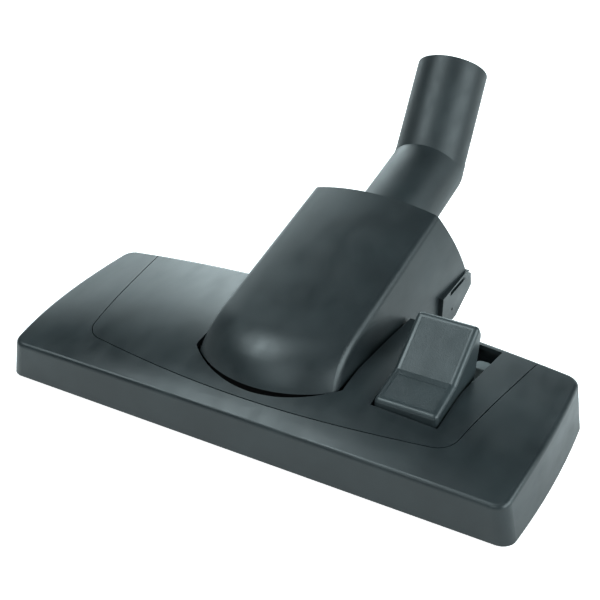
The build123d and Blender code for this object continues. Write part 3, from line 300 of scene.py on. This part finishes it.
@dataclass(frozen=True)
class PanelledPlastic(MouldedPlastic):
    """The pedal's moulding: a smooth rim round two panels, whose coarser etched grain gives the foot a grip."""

    middle_x_mm: float = 71.9
    half_x_mm: float = 12.4
    panels_mm: tuple = ((-18.0, 0.4), (0.4, 23.4))
    etch_mm: float = 0.55
    etch_depth_mm: float = 0.16
    etch_strength: float = 1.0
    etch_roughness: float = 0.12

    def layers(self, graph: Graph) -> dict:
        """Work out the surface's inputs.

        Args:
            graph: The material's node tree.

        Returns:
            The principled surface's inputs by name.
        """
        links = super().layers(graph)
        place = graph.add("SeparateXYZ", links={"Vector": graph.add("TexCoord").outputs["Object"]}).outputs
        along = self.within(graph, place["X"], self.middle_x_mm - self.half_x_mm, self.middle_x_mm + self.half_x_mm)
        across = [self.within(graph, place["Y"], low, high) for low, high in self.panels_mm]
        inside = graph.calc("MULTIPLY", along, graph.calc("MAXIMUM", *across))
        etched = graph.calc("MULTIPLY", inside, graph.noise(self.etch_mm, 3.0))
        # Etching deepens the relief and dulls the panels, while the rim keeps the plain sheen.
        links["Normal"] = graph.bump(etched, self.etch_depth_mm, self.etch_strength, links["Normal"])
        duller = graph.calc("MULTIPLY", inside, self.etch_roughness)
        links["Roughness"] = graph.calc("ADD", links["Roughness"], duller)
        return links

    def within(self, graph: Graph, value: bpy.types.NodeSocket, low_mm: float, high_mm: float) -> bpy.types.NodeSocket:
        """Tell whether a coordinate lies within a stretch.

        Args:
            graph: The material's node tree.
            value: The coordinate in metres.
            low_mm: The stretch's start in millimetres.
            high_mm: Its end.

        Returns:
            1 inside the stretch and 0 outside it.
        """
        above = graph.calc("GREATER_THAN", value, mm(low_mm))
        return graph.calc("MULTIPLY", above, graph.calc("LESS_THAN", value, mm(high_mm)))


@dataclass(frozen=True)
class MatPlastic:
    """Plain technical moulding for inner pieces: darker, with tool flow lines and a matt face."""

    name: str
    colour: str
    light: str
    roughness: float

    def make(self) -> bpy.types.Material:
        """Build the material.

        Returns:
            The finished material.
        """
        graph = Graph(bpy.data.materials.new(self.name))
        # Flow lines run along the moulding and show as faint stripes of tone and gloss.
        flow = graph.noise(3.0, 4.0, (0.3, 1.0, 1.0))
        tone = graph.mix(graph.span(flow, (0.35, 0.7), (0.0, 0.6)), srgb(self.colour), srgb(self.light))
        rough = graph.span(flow, (0.3, 0.7), (self.roughness - 0.06, self.roughness + 0.06))
        relief = graph.bump(graph.noise(0.5, 3.0), 0.02, 0.25)
        return graph.surface({"Base Color": tone, "Roughness": rough, "Normal": relief})


@dataclass(frozen=True)
class PlatedSteel:
    """Zinc-plated or drawn steel: bright, with fine draw marks and a slightly cloudy plating."""

    name: str
    colour: str
    dull: str
    roughness: float

    def make(self) -> bpy.types.Material:
        """Build the material.

        Returns:
            The finished material.
        """
        graph = Graph(bpy.data.materials.new(self.name))
        marks = graph.noise(0.35, 3.0, (0.15, 1.0, 1.0))
        tone = graph.mix(graph.span(graph.noise(2.5, 3.0), (0.4, 0.7), (0.0, 0.8)), srgb(self.colour), srgb(self.dull))
        rough = graph.span(marks, (0.3, 0.7), (self.roughness - 0.08, self.roughness + 0.1))
        relief = graph.bump(marks, 0.008, 0.3)
        return graph.surface({"Base Color": tone, "Metallic": 1.0, "Roughness": rough, "Normal": relief})


@dataclass(frozen=True)
class Fibre:
    """Dyed fibre, for velour pile and bristles: two dyed tones mixed at random, with a soft sheen."""

    name: str
    root: str
    tip: str
    roughness: float
    sheen: float

    def make(self) -> bpy.types.Material:
        """Build the material.

        Returns:
            The finished material.
        """
        graph = Graph(bpy.data.materials.new(self.name))
        tone = graph.mix(graph.noise(0.6, 1.0), srgb(self.root), srgb(self.tip))
        relief = graph.bump(graph.noise(0.12, 1.0), 0.02, 0.4)
        links = {"Base Color": tone, "Roughness": self.roughness, "Sheen Weight": self.sheen, "Normal": relief}
        return graph.surface(links)


@dataclass(frozen=True)
class SoftRubber:
    """Moulded rubber: near black, with a dusty bloom that softens its highlights."""

    name: str
    colour: str
    bloom: str

    def make(self) -> bpy.types.Material:
        """Build the material.

        Returns:
            The finished material.
        """
        graph = Graph(bpy.data.materials.new(self.name))
        bloom = graph.span(graph.noise(1.8, 4.0), (0.4, 0.75), (0.0, 0.5))
        tone = graph.mix(bloom, srgb(self.colour), srgb(self.bloom))
        relief = graph.bump(graph.noise(0.3, 2.0), 0.02, 0.4)
        return graph.surface({"Base Color": tone, "Roughness": 0.72, "Normal": relief})


class Finish(Enum):
    """Every finish on the part, each by the process that makes it."""

    SHELL = MouldedPlastic("satin_moulded_abs", "#1c2123", "#31383a", 0.34, 0.32, 0.012, 0.22)
    NECK = MouldedPlastic("satin_moulded_abs_neck", "#1d2224", "#32393b", 0.38, 0.32, 0.012, 0.22)
    TUBE = MouldedPlastic("matt_moulded_pp_tube", "#1b2022", "#2e3537", 0.46, 0.38, 0.014, 0.25)
    # The pedal is coloured paler than the shell, partly as painted light that makes up for light falling short on its
    # panels.
    PEDAL = PanelledPlastic("etched_moulded_abs_pedal", "#2a3032", "#454d4f", 0.34, 0.32, 0.012, 0.22)
    SOLE = MatPlastic("moulded_abs_sole", "#1d2122", "#2c3132", 0.44)
    INNER = MatPlastic("moulded_pom_black", "#141718", "#212526", 0.46)
    # The lug's colour is partly the nylon's own pale grey and partly painted light, raised to make up for the shade it
    # sits in.
    LUG = MatPlastic("moulded_nylon_natural_painted_paler", "#8a9091", "#9da3a3", 0.42)
    WHEEL = MatPlastic("moulded_nylon_wheel", "#2a2e2f", "#3a3f40", 0.5)
    STEEL = PlatedSteel("zinc_plated_steel", "#b9bcc0", "#8d9094", 0.3)
    SPRING = PlatedSteel("drawn_spring_steel", "#a8abb0", "#7c8085", 0.26)
    BRISTLE = Fibre("extruded_nylon_bristle", "#111314", "#2a2d2e", 0.42, 0.1)
    VELOUR = Fibre("woven_velour_pile", "#5c1016", "#a8222b", 0.8, 0.6)
    SEAL = SoftRubber("moulded_rubber_seal", "#0f1010", "#2b2c2c")


class Palette:
    """The materials made so far, so that each is made once."""

    def __init__(self) -> None:
        """Start with no materials."""
        self.made: dict[Finish, bpy.types.Material] = {}

    def give(self, finish: Finish) -> bpy.types.Material:
        """Return the material of a finish, making it on first use.

        Args:
            finish: The finish that is wanted.

        Returns:
            Its material.
        """
        if finish not in self.made:
            self.made[finish] = finish.value.make()
            LOG.info("material %s", finish.value.name)
        return self.made[finish]


def mesh_object(name: str, points: list, faces: list, material: bpy.types.Material, smooth: bool) -> bpy.types.Object:
    """Make a mesh object from points and faces.

    Args:
        name: The object's name.
        points: Vertex places in metres.
        faces: Vertex numbers of each face.
        material: The object's one material.
        smooth: Whether its faces are shaded round.

    Returns:
        The new object, in the scene.
    """
    mesh = bpy.data.meshes.new(name)
    mesh.from_pydata(points, [], faces)
    mesh.materials.append(material)
    mesh.polygons.foreach_set("use_smooth", [smooth] * len(mesh.polygons))
    mesh.update()
    piece = bpy.data.objects.new(name, mesh)
    bpy.context.scene.collection.objects.link(piece)
    LOG.info("piece %s with %d faces", name, len(faces))
    return piece


@dataclass
class Strands:
    """Points and faces of many thin strands, gathered into one mesh."""

    points: list = field(default_factory=list)
    faces: list = field(default_factory=list)
    sides: int = 3

    def grow(self, path: list[Vector], radius: float) -> None:
        """Add one strand along a path that runs mostly up or down.

        Args:
            path: The strand's places from root to tip, in metres.
            radius: The strand's radius in metres.
        """
        start = len(self.points)
        for place in path:
            for k in range(self.sides):
                turn = 2 * math.pi * k / self.sides
                self.points.append(place + Vector((math.cos(turn), math.sin(turn), 0)) * radius)
        for ring in range(len(path) - 1):
            for k in range(self.sides):
                a = start + ring * self.sides + k
                b = start + ring * self.sides + (k + 1) % self.sides
                self.faces.append((a, b, b + self.sides, a + self.sides))
        last = start + (len(path) - 1) * self.sides
        self.faces.append(tuple(last + k for k in range(self.sides)))


@dataclass
class SubAssembly:
    """A group of CAD nodes with the finish of each."""

    palette: Palette
    finishes: dict[str, Finish]

    def build(self) -> None:
        """Add the pieces that the CAD model leaves to the eye; a plain group has none."""

    def dress(self, nodes: dict) -> None:
        """Give every node of the group its material.

        Args:
            nodes: The CAD model's objects by name.
        """
        for name, finish in self.finishes.items():
            mesh = nodes[name].data
            mesh.materials.clear()
            mesh.materials.append(self.palette.give(finish))
            LOG.info("node %s in %s", name, finish.value.name)


@dataclass
class Head(SubAssembly):
    """The wide head with its cover, sole and velour lint strips."""

    strips: tuple = ("front_left", "front_right", "rear_left", "rear_right")
    fibres: int = 2600
    fibre_r_mm: float = 0.05
    backing_mm: float = 0.25

    def build(self) -> None:
        """Make each lint strip as a woven backing with a leaning pile."""
        rng = random.Random(SEED)
        material = self.palette.give(Finish.VELOUR)
        for strip in self.strips:
            node = f"{strip}_lint_strip"
            low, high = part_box(node)
            base = high[2] - mm(self.backing_mm)
            points = [
                (x, y, z) for z in (base, high[2]) for x, y in
                ((low[0], low[1]), (high[0], low[1]), (high[0], high[1]), (low[0], high[1]))
            ]
            faces = [(3, 2, 1, 0), (4, 5, 6, 7), (0, 1, 5, 4), (1, 2, 6, 5), (2, 3, 7, 6), (3, 0, 4, 7)]
            pile = Strands(points=[Vector(p) for p in points], faces=faces)
            edge = mm(0.3)
            for _ in range(self.fibres):
                root = Vector((
                    rng.uniform(low[0] + edge, high[0] - edge), rng.uniform(low[1] + edge, high[1] - edge), base
                ))
                lean = Vector((rng.uniform(-0.1, 0.1), rng.uniform(0.05, 0.25), 0)) * MM
                tip_z = low[2] + mm(rng.uniform(0.0, 0.15))
                middle = Vector((root.x + lean.x / 2, root.y + lean.y / 3, (base + tip_z) / 2))
                tip = Vector((root.x + lean.x, root.y + lean.y, tip_z))
                pile.grow([root, middle, tip], mm(self.fibre_r_mm))
            piece = mesh_object(f"{node}_pile", pile.points, pile.faces, material, False)
            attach(piece, Body.HEAD.value)
            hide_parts(node)


@dataclass
class Brush(SubAssembly):
    """The sliding brush carrier with its bristle rows."""

    rows: tuple = ("front_bristles", "rear_bristles")
    tufts: int = 26
    pitch_mm: float = 224.0 / 26
    hairs: int = 60
    tuft_r_mm: float = 2.0
    hair_r_mm: float = 0.11
    root_mm: float = 2.0

    def build(self) -> None:
        """Make each bristle row as tufts of single hairs that spread towards their tips."""
        rng = random.Random(SEED + 1)
        material = self.palette.give(Finish.BRISTLE)
        for row in self.rows:
            low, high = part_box(row)
            y = (low[1] + high[1]) / 2
            x_middle = (low[0] + high[0]) / 2
            reach = (high[1] - low[1]) / 2 - mm(self.hair_r_mm)
            hairs = Strands()
            for tuft in range(self.tufts):
                x = x_middle + mm(self.pitch_mm) * (tuft - (self.tufts - 1) / 2)
                for _ in range(self.hairs):
                    turn = rng.uniform(0, 2 * math.pi)
                    share = math.sqrt(rng.random())
                    aim = Vector((math.cos(turn), math.sin(turn), 0))
                    near = aim * mm(self.tuft_r_mm) * share * 0.9
                    far = aim * reach * min(1.0, share * rng.uniform(0.9, 1.1))
                    top = Vector((x, y, high[2] - mm(self.root_mm) / 2)) + near
                    tip = Vector((x, y, low[2] + mm(rng.uniform(0.0, 0.35)))) + far
                    middle = top.lerp(tip, 0.55) + (near - far) * 0.12
                    hairs.grow([top, middle, tip], mm(self.hair_r_mm))
            piece = mesh_object(f"{row}_hair", hairs.points, hairs.faces, material, True)
            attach(piece, Body.BRUSH.value)
            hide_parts(row)


@dataclass
class LiftSprings(SubAssembly):
    """The two coil springs that stand on the sole and carry the brush."""

    turns: int = 5
    steps: int = 28
    sides: int = 10
    wire_r_mm: float = 0.45
    drop_mm: float = 6.0

    def build(self) -> None:
        """Wind each spring as a round-wire coil in its node's box, riding on the head."""
        material = self.palette.give(Finish.SPRING)
        for node in self.finishes:
            low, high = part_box(node)
            points, faces = self.wind(low, high)
            piece = mesh_object(f"{node}_coil", points, faces, material, True)
            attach(piece, Body.HEAD.value)
            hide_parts(node)
            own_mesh(piece)

    def wind(self, low: tuple, high: tuple) -> tuple[list, list]:
        """Wind one coil of round wire inside a box.

        Args:
            low: The box's lowest corner in metres.
            high: Its highest corner.

        Returns:
            The coil's points and faces.
        """
        wire = mm(self.wire_r_mm)
        middle = Vector(((low[0] + high[0]) / 2, (low[1] + high[1]) / 2, 0))
        radius = (high[0] - low[0]) / 2 - wire
        count = self.turns * self.steps
        points, faces = [], []
        for step in range(count + 1):
            turn = 2 * math.pi * step / self.steps
            out = Vector((math.cos(turn), math.sin(turn), 0))
            rise = low[2] + wire + (high[2] - low[2] - 2 * wire) * step / count
            core = middle + out * radius + Vector((0, 0, rise))
            for side in range(self.sides):
                lean = 2 * math.pi * side / self.sides
                points.append(core + (out * math.cos(lean) + Vector((0, 0, math.sin(lean)))) * wire)
        for step in range(count):
            for side in range(self.sides):
                a = step * self.sides + side
                b = step * self.sides + (side + 1) % self.sides
                faces.append((a, a + self.sides, b + self.sides, b))
        faces.append(tuple(range(self.sides)))
        faces.append(tuple(reversed(range(count * self.sides, (count + 1) * self.sides))))
        return points, faces


@dataclass(frozen=True)
class SoftBox:
    """A rectangular studio light."""

    name: str
    place_mm: tuple
    power: float
    width_mm: float = 700.0
    height_mm: float = 700.0
    aim_mm: tuple = (0, 20, 20)
    colour: str = STUDIO_TINT

    def make(self) -> bpy.types.Object:
        """Place the light.

        Returns:
            The light's object.
        """
        data = bpy.data.lights.new(self.name, "AREA")
        data.shape = "RECTANGLE"
        data.size, data.size_y = mm(self.width_mm), mm(self.height_mm)
        data.energy = self.power
        data.color = srgb(self.colour)[:3]
        light = bpy.data.objects.new(self.name, data)
        light.location = Vector(self.place_mm) * MM
        aim = Vector(self.aim_mm) * MM - light.location
        light.rotation_euler = aim.to_track_quat("-Z", "Y").to_euler()
        bpy.context.scene.collection.objects.link(light)
        LOG.info("light %s", self.name)
        return light


@dataclass
class Studio:
    """The white room round the object: floor, backdrop light, soft boxes and camera."""

    boxes: tuple
    eye_mm: tuple = (232.8, -408.0, 340.6)
    target_mm: tuple = (-39.9, 84.6, 1.5)
    lens_mm: float = 69.41
    sensor_mm: float = 36.0
    floor_half_mm: float = 4000.0
    paper_glow: float = 0.95
    gloss_share: float = 0.3
    wall_light: tuple = (0.5, 0.06, 0.03)
    wall_top: float = 0.4
    tint: str = STUDIO_TINT
    paper: str = "#e6e8e8"
    floor_drop_mm: float = 0.2

    def build(self) -> None:
        """Make the floor, the room's light, the soft boxes and the camera."""
        self.make_floor()
        self.make_room()
        for box in self.boxes:
            box.make()
        self.make_camera()

    def straight(self, graph: Graph) -> bpy.types.NodeSocket:
        """Tell rays that show a thing itself, or its mirror image, from rays that only carry its light on.

        Args:
            graph: The node tree that asks.

        Returns:
            1 for rays from the camera and through glass, a share for those from a gloss, and 0 for others.
        """
        rays = graph.add("LightPath").outputs
        shown = graph.calc("MAXIMUM", rays["Is Camera Ray"], rays["Is Transmission Ray"])
        return graph.calc("MAXIMUM", shown, graph.calc("MULTIPLY", rays["Is Glossy Ray"], self.gloss_share))

    def make_floor(self) -> None:
        """Lay a plain white floor that keeps a faint shadow and is open to a view from below."""
        graph = Graph(bpy.data.materials.new("white_paper_floor"))
        behind = graph.add("NewGeometry").outputs["Backfacing"]
        paper = graph.add("BsdfDiffuse", links={"Color": srgb(self.paper)}).outputs[0]
        glow = graph.add("Emission", links={"Color": srgb(WHITE), "Strength": self.paper_glow}).outputs[0]
        clear = graph.add("BsdfTransparent").outputs[0]
        bright = graph.add("AddShader", links={0: paper, 1: glow}).outputs[0]
        seen = graph.add("MixShader", links={0: self.straight(graph), 1: paper, 2: bright}).outputs[0]
        sheet = graph.add("MixShader", links={0: behind, 1: seen, 2: clear}).outputs[0]
        graph.add("OutputMaterial", links={"Surface": sheet})
        half = mm(self.floor_half_mm)
        corners = [(-half, -half, 0), (half, -half, 0), (half, half, 0), (-half, half, 0)]
        floor = mesh_object("paper_floor", corners, [(0, 1, 2, 3)], graph.owner, False)
        floor.location.z = -mm(self.floor_drop_mm)

    def make_room(self) -> None:
        """Light the room from its walls and ceiling, and show it white behind the object."""
        world = bpy.data.worlds.new("white_room")
        bpy.context.scene.world = world
        graph = Graph(world)
        aim = graph.add("TexCoord").outputs["Generated"]
        rise = graph.add("SeparateXYZ", links={"Vector": aim}).outputs["Z"]
        foot, top, ceiling = self.wall_light
        wall = graph.span(rise, (0.0, self.wall_top), (foot, top))
        level = graph.calc("ADD", wall, graph.span(rise, (self.wall_top, 1.0), (0.0, ceiling - top)))
        seen = graph.add("LightPath").outputs["Is Camera Ray"]
        level = graph.add("Mix", links={"Factor": seen, 2: level, 3: 1.0}).outputs[0]
        colour = graph.mix(seen, srgb(self.tint), srgb(WHITE))
        light = graph.add("Background", links={"Color": colour, "Strength": level}).outputs[0]
        graph.add("OutputWorld", links={"Surface": light})

    def make_camera(self) -> None:
        """Put the camera where the photograph was taken from."""
        data = bpy.data.cameras.new("photo_camera")
        data.lens, data.sensor_width = self.lens_mm, self.sensor_mm
        camera = bpy.data.objects.new("photo_camera", data)
        camera.location = Vector(self.eye_mm) * MM
        aim = Vector(self.target_mm) * MM - camera.location
        camera.rotation_euler = aim.to_track_quat("-Z", "Y").to_euler()
        bpy.context.scene.collection.objects.link(camera)
        bpy.context.scene.camera = camera


HEAD_FINISHES = {
    "outer_shell": Finish.SHELL,
    "top_cover": Finish.SHELL,
    "sole_plate": Finish.SOLE,
    "throat_cradle": Finish.INNER,
    "left_pivot_cap": Finish.INNER,
    "right_pivot_cap": Finish.INNER,
    "cap_screws": Finish.STEEL,
    "sole_screws": Finish.STEEL,
    "pedal_axle": Finish.STEEL,
    "front_left_lint_strip": Finish.VELOUR,
    "front_right_lint_strip": Finish.VELOUR,
    "rear_left_lint_strip": Finish.VELOUR,
    "rear_right_lint_strip": Finish.VELOUR,
}
BRUSH_FINISHES = {
    "brush_carrier": Finish.INNER,
    "latch_lug": Finish.LUG,
    "front_bristles": Finish.BRISTLE,
    "rear_bristles": Finish.BRISTLE,
}
SPRING_FINISHES = {
    "left_lift_spring": Finish.SPRING,
    "right_lift_spring": Finish.SPRING,
}
NECK_FINISHES = {
    "neck_hood": Finish.NECK,
    "neck_lower_shell": Finish.NECK,
    "knuckle_drum": Finish.INNER,
    "neck_duct": Finish.INNER,
    "swivel_ring": Finish.INNER,
    "swivel_seal": Finish.SEAL,
    "neck_screws": Finish.STEEL,
    "wheel_axle": Finish.STEEL,
    "left_wheel": Finish.WHEEL,
    "right_wheel": Finish.WHEEL,
}
BOXES = (
    SoftBox("rear_left_box", (-516, 1127, 465), 7.0),
    SoftBox("low_left_box", (-900, 920, 290), 3.2),
    SoftBox("rear_box", (0, 1290, 290), 2.0),
    SoftBox("top_box", (0, 20, 1320), 1.5),
    SoftBox("front_box", (0, -950, 890), 3.5),
    SoftBox("right_box", (1050, 60, 600), 16.0, width_mm=1400.0),
    SoftBox("left_box", (-560, -290, 1200), 10.0, 600.0, 600.0),
)


def main() -> None:
    """Load the CAD model, dress it, light it and take it into view."""
    logging.basicConfig(level=logging.INFO, format="%(message)s")
    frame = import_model()
    bpy.context.scene.view_settings.view_transform = "Standard"
    palette = Palette()
    groups = (
        Head(palette, HEAD_FINISHES),
        Brush(palette, BRUSH_FINISHES),
        LiftSprings(palette, SPRING_FINISHES),
        SubAssembly(palette, {"pedal": Finish.PEDAL}),
        SubAssembly(palette, NECK_FINISHES),
        SubAssembly(palette, {"elbow_bend": Finish.TUBE, "elbow_tube": Finish.TUBE}),
    )
    for group in groups:
        group.dress(frame["nodes"])
        group.build()
    Studio(BOXES).build()


if __name__ == "__main__":
    main()
